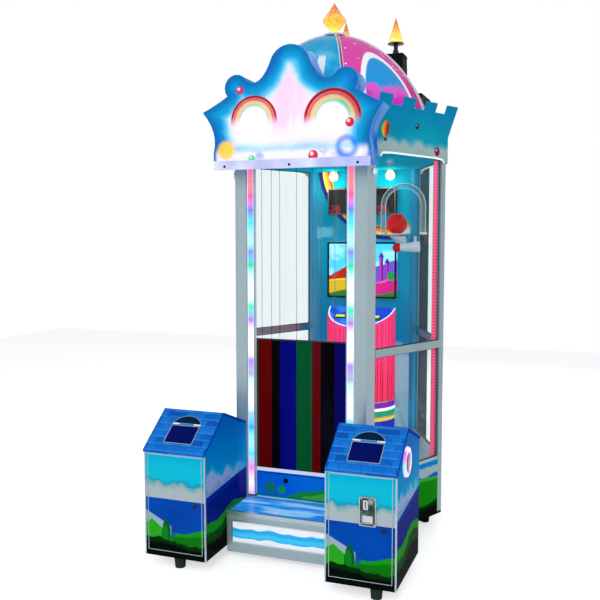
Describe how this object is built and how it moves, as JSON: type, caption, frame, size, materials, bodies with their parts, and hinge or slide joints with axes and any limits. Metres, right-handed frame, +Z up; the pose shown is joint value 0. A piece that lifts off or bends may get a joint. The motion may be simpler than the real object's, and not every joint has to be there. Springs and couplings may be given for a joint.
{
  "type": "castle ball game machine",
  "caption": "Free-standing coin-operated ball game: glazed six-sided castle cabinet with lit sign, domed roof, step and two button and coin houses.",
  "frame": {"origin": "centre of the footprint box on the floor", "axes": "+Z up, -Y towards the player at the step, +X to the right-hand coin house"},
  "size_m": [1.2872, 1.858, 2.814],
  "materials": {
    "aluminium": "satin anodised extrusion",
    "diffuser": "frosted light diffuser, lit in changing colours",
    "clear_glazing": "clear acrylic sheet",
    "sky_print": "board faced with a glossy sky-blue print",
    "sign_face": "back-lit printed acrylic",
    "shingle_print": "board faced with a blue shingle print",
    "wall_print": "board faced with a dark blue print",
    "stripe_board": "striped dark acrylic",
    "black_board": "black painted board",
    "dome_skin": "glossy pink and blue moulded shell",
    "amber_plastic": "faceted clear amber plastic, lit from inside",
    "red_plastic": "glossy red plastic",
    "lit_pink": "translucent plastic lit pink from inside",
    "dark_metal": "dark grey coated steel",
    "black_plastic": "black moulded plastic",
    "display_black": "dark display window",
    "grey_plastic": "grey moulded plastic"
  },
  "bodies": {
    "cabinet": {"base_tray": "sky_print", "cabinet_deck": "aluminium", "front_post_left": "aluminium", "front_post_right": "aluminium", "led_channel_left": "diffuser", "led_channel_right": "diffuser", "side_frame_left": "aluminium", "side_frame_right": "aluminium", "side_pane_front_left": "clear_glazing", "side_pane_front_right": "clear_glazing", "side_pane_rear_left": "clear_glazing", "side_pane_rear_right": "clear_glazing", "striped_panel": "stripe_board", "front_screen": "clear_glazing", "back_wall": "wall_print", "rear_housing": "black_board", "power_unit": "grey_plastic", "roof_deck": "aluminium", "crown_left": "sky_print", "crown_right": "sky_print", "dome_shell": "dome_skin", "dome_ribs": "aluminium", "dome_gem": "amber_plastic", "turret_left": "black_board", "turret_right": "black_board", "turret_cone_left": "amber_plastic", "turret_cone_right": "amber_plastic", "marquee_face": "sign_face", "marquee_box": "sign_face", "marquee_trim": "aluminium", "step_frame": "aluminium", "step_tread": "sky_print", "kiosk_body_left": "sky_print", "kiosk_body_right": "sky_print", "kiosk_roof_left": "shingle_print", "kiosk_roof_right": "shingle_print", "kiosk_base_left": "black_plastic", "kiosk_base_right": "black_plastic", "button_ring_left": "lit_pink", "button_ring_right": "lit_pink", "cash_box": "dark_metal", "scoreboard": "display_black", "picture_panel": "display_black", "console": "lit_pink", "ball_arch": "clear_glazing", "ball_chute_left": "clear_glazing", "ball_chute_right": "clear_glazing"},
    "riser_door": {"riser_door": "sky_print"},
    "rear_door": {"rear_door": "black_board"},
    "kiosk_door_left": {"kiosk_door_left": "sky_print"},
    "kiosk_door_right": {"kiosk_door_right": "sky_print", "coin_plate": "dark_metal", "coin_mech": "grey_plastic"},
    "coin_reject": {"coin_reject_button": "dark_metal"},
    "coin_return": {"coin_return_flap": "dark_metal"},
    "button_left": {"button_cap_left": "red_plastic"},
    "button_right": {"button_cap_right": "red_plastic"},
    "ball": {"ball": "red_plastic"}
  },
  "joints": [
    {"name": "riser_door_hinge", "type": "hinge", "parent": "cabinet", "child": "riser_door", "pos_m": [0, -0.443, 0.231], "axis": [1, 0, 0], "range_deg": [0, 85]},
    {"name": "rear_door_hinge", "type": "hinge", "parent": "cabinet", "child": "rear_door", "pos_m": [0.2685, 0.9255, 1.05], "axis": [0, 0, -1], "range_deg": [0, 110]},
    {"name": "kiosk_door_left_hinge", "type": "hinge", "parent": "cabinet", "child": "kiosk_door_left", "pos_m": [-0.568, -0.919, 0.305], "axis": [0, 0, -1], "range_deg": [0, 100]},
    {"name": "kiosk_door_right_hinge", "type": "hinge", "parent": "cabinet", "child": "kiosk_door_right", "pos_m": [0.2935, -0.919, 0.305], "axis": [0, 0, -1], "range_deg": [0, 100]},
    {"name": "coin_reject_push", "type": "slide", "parent": "kiosk_door_right", "child": "coin_reject", "axis": [0, 1, 0], "range_m": [0, 0.004], "stiffness_N_per_m": 600, "springref_m": -0.002},
    {"name": "coin_return_hinge", "type": "hinge", "parent": "kiosk_door_right", "child": "coin_return", "pos_m": [0.4625, -0.9215, 0.3595], "axis": [1, 0, 0], "range_deg": [0, 50]},
    {"name": "button_left_push", "type": "slide", "parent": "cabinet", "child": "button_left", "axis": [1, 0, 0], "range_m": [0, 0.004], "stiffness_N_per_m": 900, "springref_m": -0.002},
    {"name": "button_right_push", "type": "slide", "parent": "cabinet", "child": "button_right", "axis": [-1, 0, 0], "range_m": [0, 0.004], "stiffness_N_per_m": 900, "springref_m": -0.002},
    {"name": "ball_lift", "type": "slide", "parent": "cabinet", "child": "ball", "axis": [0, 0, 1], "range_m": [0, 0.05]}
  ]
}
